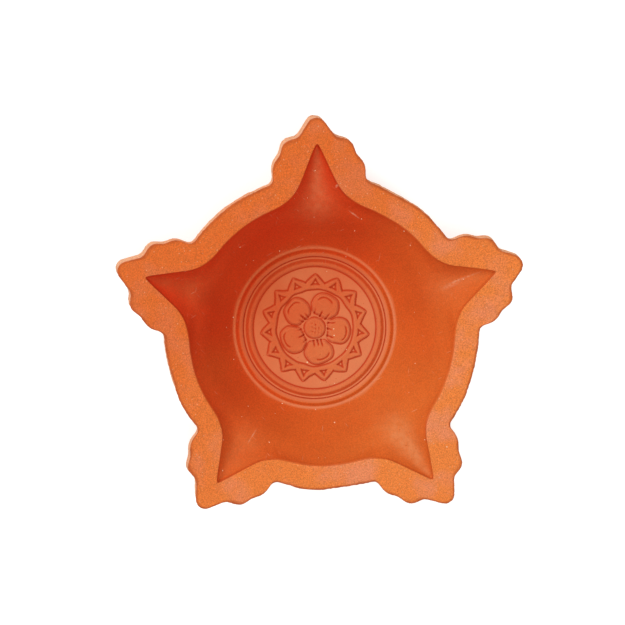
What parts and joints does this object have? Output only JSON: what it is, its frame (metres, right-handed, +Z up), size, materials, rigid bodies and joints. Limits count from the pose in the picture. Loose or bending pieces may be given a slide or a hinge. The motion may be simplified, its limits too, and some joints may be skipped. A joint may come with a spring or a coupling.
{
  "type": "diya oil lamp",
  "caption": "Shallow star-shaped terracotta oil lamp with pointed wick spouts, lobed rim and a stamped floor medallion.",
  "frame": {"origin": "centre of the round foot, on the surface that the lamp stands on", "axes": "+Z up through the bowl's axis; +Y from the axis towards the tip of one spout; +X to the right of it"},
  "size_m": [0.1142, 0.109, 0.021],
  "materials": {
    "terracotta": "matt unglazed fired clay, sandy on the rim",
    "terracotta_medallion": "matt unglazed fired clay, smooth"
  },
  "bodies": {
    "root": {"bowl": "terracotta", "floor_medallion": "terracotta_medallion"}
  },
  "joints": []
}
